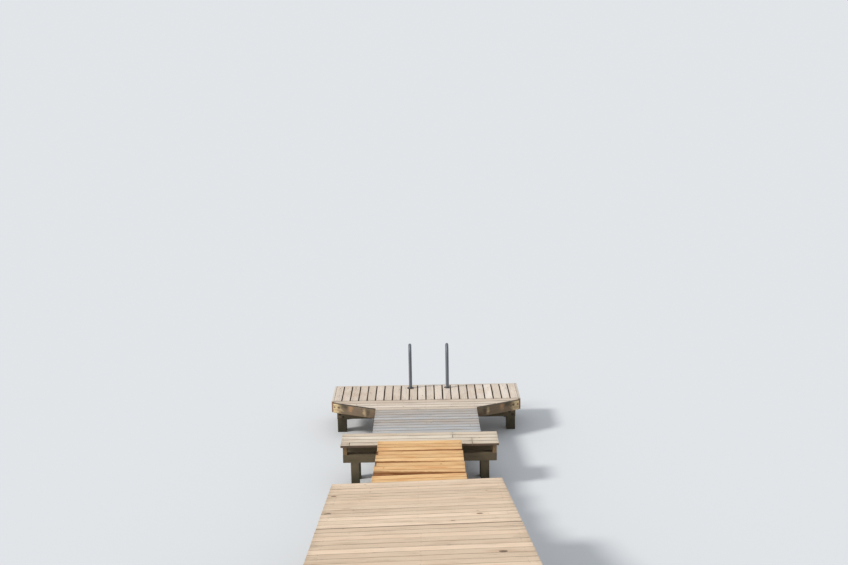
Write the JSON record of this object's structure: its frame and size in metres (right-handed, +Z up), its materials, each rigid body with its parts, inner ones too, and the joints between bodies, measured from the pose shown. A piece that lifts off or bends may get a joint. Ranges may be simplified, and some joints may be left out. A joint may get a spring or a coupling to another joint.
{
  "type": "wooden jetty",
  "caption": "Timber jetty with an end platform and bathing ladder, flared ramp, shore landing, deep steps and a sloping boardwalk in bays on posts.",
  "frame": {"origin": "middle of the jetty's outline at the water line, where every pile and post ends", "axes": "+Y along the jetty out over the lake, +X to the right when looking at the lake, +Z up"},
  "size_m": [2.576, 10.5204, 2.1479],
  "materials": {
    "plank_wood": "weathered, dry, pale grey beige",
    "tread_wood": "newer sawn timber, orange tan",
    "beam_wood": "weathered sawn beams, orange brown with dark stains",
    "post_wood": "impregnated posts and piles, dark brown grey",
    "steel": "satin stainless tube"
  },
  "bodies": {
    "root": {"platform_planks": "plank_wood", "platform_fascias": "beam_wood", "platform_front_bearer": "beam_wood", "platform_back_bearer": "beam_wood", "platform_piles": "post_wood", "platform_waler": "beam_wood", "corner_planks": "plank_wood", "corner_beam_left": "beam_wood", "corner_beam_right": "beam_wood", "corner_battens": "beam_wood", "ramp_planks": "plank_wood", "ramp_stringers": "beam_wood", "ramp_ledger": "beam_wood", "landing_planks": "plank_wood", "landing_joists": "beam_wood", "landing_beams": "beam_wood", "landing_posts": "post_wood", "step_1": "tread_wood", "step_2": "tread_wood", "step_3": "tread_wood", "step_4": "tread_wood", "carriage_left": "beam_wood", "carriage_middle": "beam_wood", "carriage_right": "beam_wood", "step_ledgers": "beam_wood", "walk_planks_1": "plank_wood", "walk_planks_2": "plank_wood", "walk_planks_3": "plank_wood", "walk_stringers_1": "beam_wood", "walk_stringers_2": "beam_wood", "walk_stringers_3": "beam_wood", "trestle_beam_1": "beam_wood", "trestle_beam_2": "beam_wood", "trestle_beam_3": "beam_wood", "trestle_beam_4": "beam_wood", "trestle_posts_1": "post_wood", "trestle_posts_2": "post_wood", "trestle_posts_3": "post_wood", "trestle_posts_4": "post_wood", "ladder_rail_left": "steel", "ladder_rail_right": "steel", "ladder_treads": "steel", "ladder_flanges": "steel", "ladder_brackets": "steel"}
  },
  "joints": []
}
